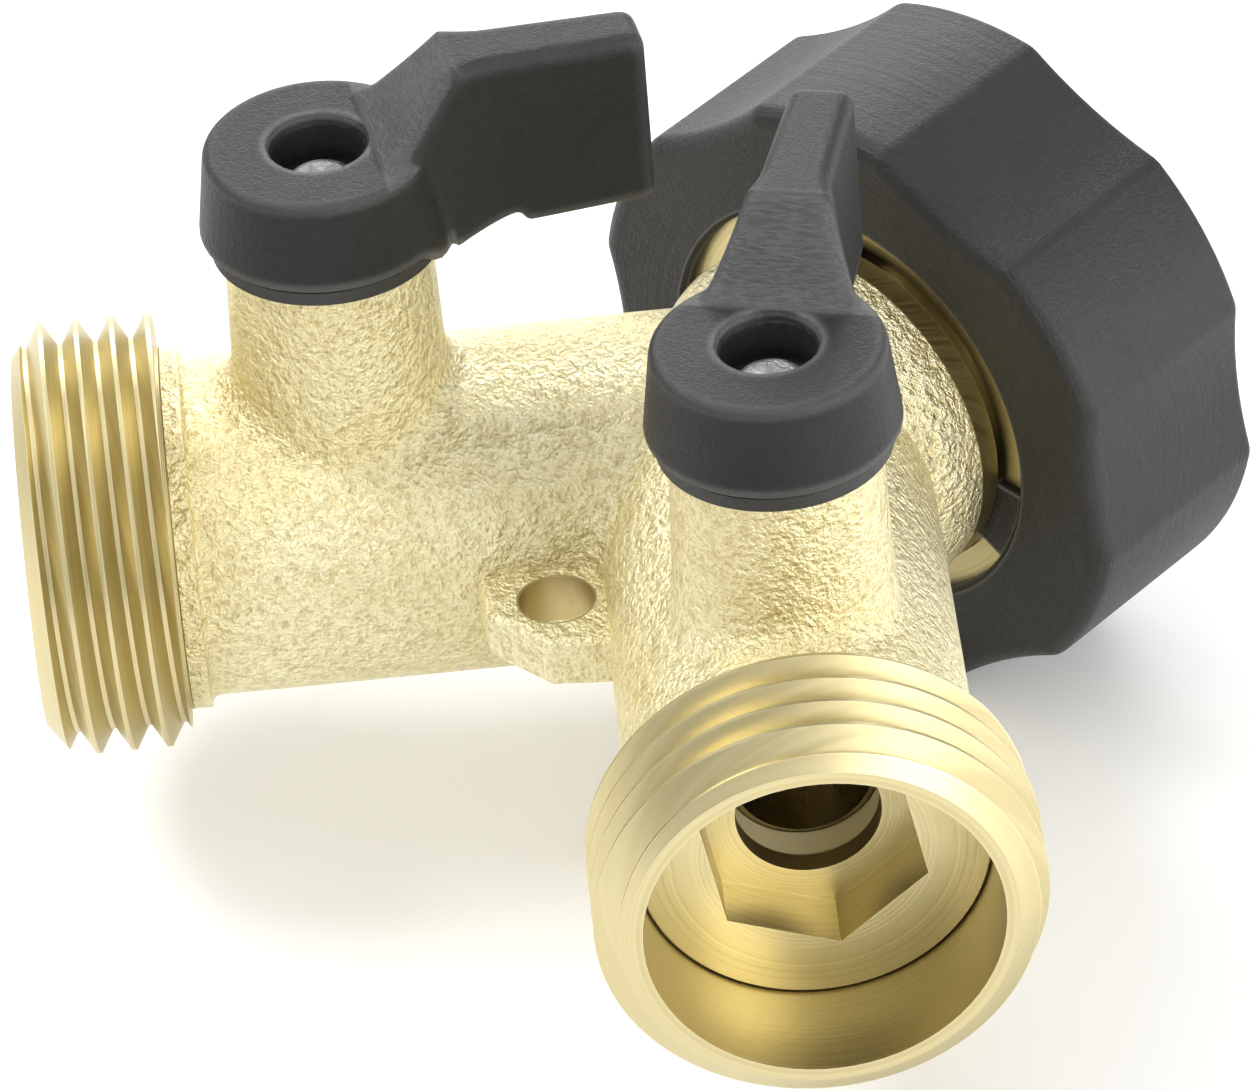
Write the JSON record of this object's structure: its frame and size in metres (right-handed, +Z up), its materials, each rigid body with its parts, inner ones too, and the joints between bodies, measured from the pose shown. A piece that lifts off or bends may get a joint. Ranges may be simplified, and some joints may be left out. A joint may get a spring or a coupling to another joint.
{
  "type": "hose splitter",
  "caption": "Y-shaped garden hose splitter with a swivel nut inlet, threaded hose outlets, a ball valve with lever in each arm, and an eyelet between the arms.",
  "frame": {"origin": "centre of the inlet thread at the swivel nut's mouth", "axes": "+Y out of the inlet along its axis, +X to the right outlet's side, +Z up along the valve stems"},
  "size_m": [0.0812, 0.0647, 0.0533],
  "materials": {
    "cast_brass": "sand-cast, grainy",
    "machined_brass": "turned",
    "nut_plastic": "fine grain, black",
    "lever_plastic": "fine grain, black",
    "seat_plastic": "white sealing plastic",
    "seal_rubber": "black moulded rubber",
    "valve_ball": "polished plating",
    "screw_steel": "zinc plated"
  },
  "bodies": {
    "splitter": {"splitter_body": "cast_brass", "swivel_tailpiece": "machined_brass", "tailpiece_ring": "seal_rubber", "hose_washer": "seal_rubber", "left_inner_seat": "seat_plastic", "left_outer_seat": "seat_plastic", "left_ball_retainer": "machined_brass", "left_dust_ring": "seal_rubber", "right_inner_seat": "seat_plastic", "right_outer_seat": "seat_plastic", "right_ball_retainer": "machined_brass", "right_dust_ring": "seal_rubber"},
    "left_valve": {"left_lever": "lever_plastic", "left_lever_screw": "screw_steel", "left_stem": "machined_brass", "left_thrust_washer": "seat_plastic", "left_lower_stem_ring": "seal_rubber", "left_upper_stem_ring": "seal_rubber", "left_ball": "valve_ball"},
    "right_valve": {"right_lever": "lever_plastic", "right_lever_screw": "screw_steel", "right_stem": "machined_brass", "right_thrust_washer": "seat_plastic", "right_lower_stem_ring": "seal_rubber", "right_upper_stem_ring": "seal_rubber", "right_ball": "valve_ball"},
    "swivel_nut": {"swivel_nut_shell": "nut_plastic", "nut_thread_insert": "machined_brass"}
  },
  "joints": [
    {"name": "left_valve_turn", "type": "hinge", "parent": "splitter", "child": "left_valve", "pos_m": [-0.01782, -0.04182, 0], "axis": [0, 0, 1], "range_deg": [0, 90]},
    {"name": "right_valve_turn", "type": "hinge", "parent": "splitter", "child": "right_valve", "pos_m": [0.01782, -0.04182, 0], "axis": [0, 0, -1], "range_deg": [0, 90]},
    {"name": "nut_spin", "type": "hinge", "parent": "splitter", "child": "swivel_nut", "pos_m": [0, 0, 0], "axis": [0, 1, 0], "continuous": true}
  ]
}
